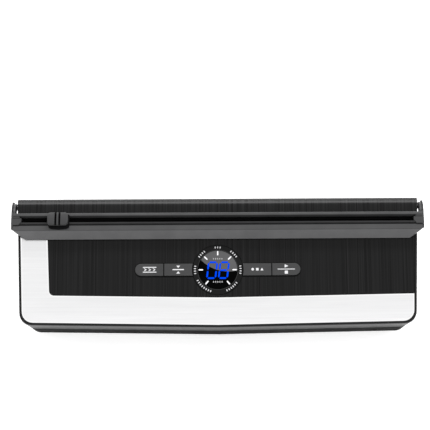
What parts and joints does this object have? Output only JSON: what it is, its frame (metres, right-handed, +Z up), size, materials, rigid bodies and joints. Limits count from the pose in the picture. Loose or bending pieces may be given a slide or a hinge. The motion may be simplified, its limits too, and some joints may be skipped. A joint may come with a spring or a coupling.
{
  "type": "vacuum sealer",
  "caption": "Countertop vacuum sealer with a rear-hinged lid, steel-trimmed control panel, round display, press keys and a flip-up bag cutter bar.",
  "frame": {"origin": "on the surface the appliance stands on, midway between the four feet and midway in the overall width", "axes": "+X along the width to the right as seen from the front, +Y from the front to the rear hinge, +Z up"},
  "size_m": [0.3912, 0.1266, 0.084],
  "materials": {
    "black_plastic": "fine satin",
    "grey_plastic": "satin",
    "liner_plastic": "matte",
    "brushed_steel": "brushed along the width",
    "bright_steel": "plain",
    "panel_film": "brushed black film, satin",
    "display_glass": "gloss",
    "rubber": "matte",
    "grey_foam": "closed-cell foam",
    "silicone": "matte",
    "heater_alloy": "plain strip",
    "release_tape": "coated glass cloth",
    "circuit_board": "solder mask",
    "coil_lacquer": "lacquered",
    "hose": "satin",
    "lead_sheath": "satin",
    "tray_plastic": "satin"
  },
  "bodies": {
    "base": {"bottom_shell": "black_plastic", "foot_front_left": "rubber", "foot_front_right": "rubber", "foot_rear_left": "rubber", "foot_rear_right": "rubber", "housing_screw_1": "bright_steel", "housing_screw_2": "bright_steel", "housing_screw_3": "bright_steel", "housing_screw_4": "bright_steel", "base_deck": "black_plastic", "lower_gasket": "grey_foam", "heater_bed": "liner_plastic", "heater_strip": "heater_alloy", "release_tape": "release_tape", "drip_tray": "tray_plastic", "hinge_pin_left": "bright_steel", "hinge_pin_right": "bright_steel", "pump_motor": "bright_steel", "pump_frame": "liner_plastic", "pump_head": "black_plastic", "valve_body": "coil_lacquer", "transformer": "bright_steel", "main_board": "circuit_board", "power_inlet": "black_plastic", "lid_switch": "liner_plastic", "accessory_port": "grey_plastic", "vacuum_hose": "hose", "mains_lead": "lead_sheath", "release_spring_left": "bright_steel", "release_spring_right": "bright_steel"},
    "crankshaft": {"motor_shaft": "bright_steel"},
    "connecting_rod": {"pump_rod": "grey_plastic"},
    "valve_armature": {"valve_plunger": "bright_steel"},
    "release_left": {"release_button_left": "grey_plastic"},
    "release_right": {"release_button_right": "grey_plastic"},
    "lid": {"lid_shell": "black_plastic", "steel_trim": "brushed_steel", "black_panel": "panel_film", "display_bezel": "display_glass", "display_window": "display_glass", "display_board": "circuit_board", "key_mat_left": "rubber", "key_mat_right": "rubber", "lid_liner": "liner_plastic", "upper_gasket": "grey_foam", "seal_pad_holder": "liner_plastic", "seal_pad": "silicone", "latch_hook_left": "liner_plastic", "latch_hook_right": "liner_plastic", "cutter_pivot_left": "bright_steel", "cutter_pivot_right": "bright_steel"},
    "key_external_vacuum_cap": {"key_external_vacuum": "grey_plastic"},
    "key_seal_cap": {"key_seal": "grey_plastic"},
    "key_mode_cap": {"key_mode": "grey_plastic"},
    "key_start_stop_cap": {"key_start_stop": "grey_plastic"},
    "cutter_bar": {"cutter_rail": "grey_plastic", "cutter_arm_left": "grey_plastic", "cutter_arm_right": "grey_plastic"},
    "cutter_slider": {"slider_knob": "grey_plastic", "slider_blade": "bright_steel"}
  },
  "joints": [
    {"name": "lid_hinge", "type": "hinge", "parent": "base", "child": "lid", "pos_m": [0, 0.0586, 0.042], "axis": [-1, 0, 0], "range_deg": [0, 75]},
    {"name": "cutter_bar_hinge", "type": "hinge", "parent": "lid", "child": "cutter_bar", "pos_m": [0, 0.055, 0.064], "axis": [-1, 0, 0], "range_deg": [0, 80]},
    {"name": "cutter_slide", "type": "slide", "parent": "cutter_bar", "child": "cutter_slider", "axis": [1, 0, 0], "range_m": [-0.024, 0.325]},
    {"name": "key_external_vacuum_press", "type": "slide", "parent": "lid", "child": "key_external_vacuum_cap", "axis": [0, 0.1132, -0.9936], "range_m": [0, 0.0008], "stiffness_N_per_m": 300, "springref_m": -0.0002},
    {"name": "key_seal_press", "type": "slide", "parent": "lid", "child": "key_seal_cap", "axis": [0, 0.1132, -0.9936], "range_m": [0, 0.0008], "stiffness_N_per_m": 300, "springref_m": -0.0002},
    {"name": "key_mode_press", "type": "slide", "parent": "lid", "child": "key_mode_cap", "axis": [0, 0.1132, -0.9936], "range_m": [0, 0.0008], "stiffness_N_per_m": 300, "springref_m": -0.0002},
    {"name": "key_start_stop_press", "type": "slide", "parent": "lid", "child": "key_start_stop_cap", "axis": [0, 0.1132, -0.9936], "range_m": [0, 0.0008], "stiffness_N_per_m": 300, "springref_m": -0.0002},
    {"name": "release_left_press", "type": "slide", "parent": "base", "child": "release_left", "axis": [1, 0, 0], "range_m": [0, 0.003], "stiffness_N_per_m": 600, "springref_m": -0.001, "deforming": ["release_spring_left"]},
    {"name": "release_right_press", "type": "slide", "parent": "base", "child": "release_right", "axis": [-1, 0, 0], "range_m": [0, 0.003], "stiffness_N_per_m": 600, "springref_m": -0.001, "deforming": ["release_spring_right"]},
    {"name": "motor_spin", "type": "hinge", "parent": "base", "child": "crankshaft", "pos_m": [0.06, 0.024, 0.02], "axis": [1, 0, 0], "continuous": true},
    {"name": "crank_pin_turn", "type": "hinge", "parent": "crankshaft", "child": "connecting_rod", "pos_m": [0.069, 0.024, 0.0212], "axis": [1, 0, 0], "continuous": true},
    {"name": "valve_slide", "type": "slide", "parent": "base", "child": "valve_armature", "axis": [0, 0, -1], "range_m": [0, 0.0015], "stiffness_N_per_m": 150, "springref_m": -0.0005}
  ],
  "couplings": [
    {"joint": "crank_pin_turn", "follows": "motor_spin", "ratio": -1}
  ]
}
